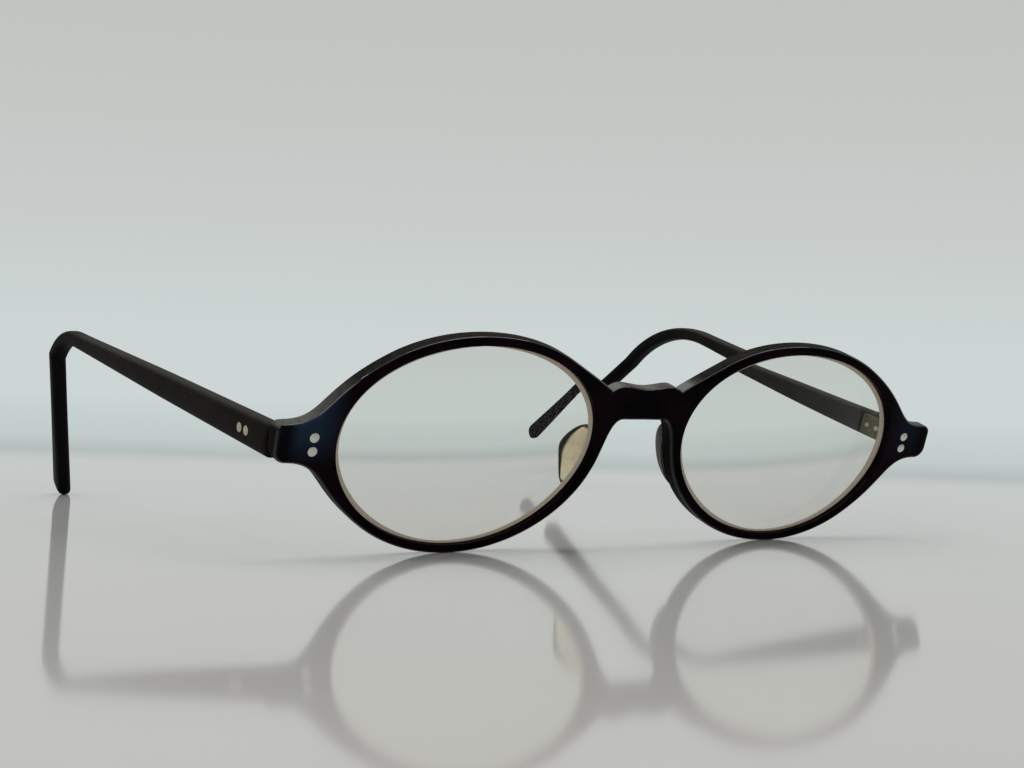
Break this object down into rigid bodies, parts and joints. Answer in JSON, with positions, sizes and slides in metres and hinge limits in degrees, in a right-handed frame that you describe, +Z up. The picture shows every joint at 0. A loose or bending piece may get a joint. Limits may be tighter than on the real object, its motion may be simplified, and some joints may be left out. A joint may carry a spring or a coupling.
{
  "type": "eyeglasses",
  "caption": "Eyeglasses with oval lenses in a dark plastic frame, riveted hinges, folding temples and moulded nose pads, standing open on the rims and one temple tip.",
  "frame": {"origin": "centre of the bounding box's bottom face, on the table that the open glasses stand on", "axes": "+X to the wearer's left, +Y from the front back towards the ears, +Z up from the table; the front leans back to front by about 17.6 degrees"},
  "size_m": [0.144, 0.1336, 0.0389],
  "materials": {
    "acetate": "polished, worn to satin at the edges",
    "lens": "clear, with ground edges",
    "pad": "translucent amber",
    "hinge_metal": "dull nickel",
    "rivet_metal": "satin, fine grain"
  },
  "bodies": {
    "front": {"front_frame": "acetate", "right_lens": "lens", "left_lens": "lens", "right_nose_pad": "pad", "left_nose_pad": "pad", "right_front_hinge": "hinge_metal", "left_front_hinge": "hinge_metal", "right_hinge_screw": "hinge_metal", "left_hinge_screw": "hinge_metal", "right_upper_front_rivet": "rivet_metal", "right_lower_front_rivet": "rivet_metal", "left_upper_front_rivet": "rivet_metal", "left_lower_front_rivet": "rivet_metal"},
    "right_arm": {"right_temple": "acetate", "right_temple_hinge": "hinge_metal", "right_temple_wire": "hinge_metal", "right_fore_temple_rivet": "rivet_metal", "right_rear_temple_rivet": "rivet_metal"},
    "left_arm": {"left_temple": "acetate", "left_temple_hinge": "hinge_metal", "left_temple_wire": "hinge_metal", "left_fore_temple_rivet": "rivet_metal", "left_rear_temple_rivet": "rivet_metal"}
  },
  "joints": [
    {"name": "right_temple_fold", "type": "hinge", "parent": "front", "child": "right_arm", "pos_m": [-0.06107, -0.05745, 0.0193], "axis": [0, 0.3039, -0.9527], "range_deg": [0, 80]},
    {"name": "left_temple_fold", "type": "hinge", "parent": "front", "child": "left_arm", "pos_m": [0.06353, -0.05745, 0.0193], "axis": [0, -0.3039, 0.9527], "range_deg": [0, 78]}
  ]
}
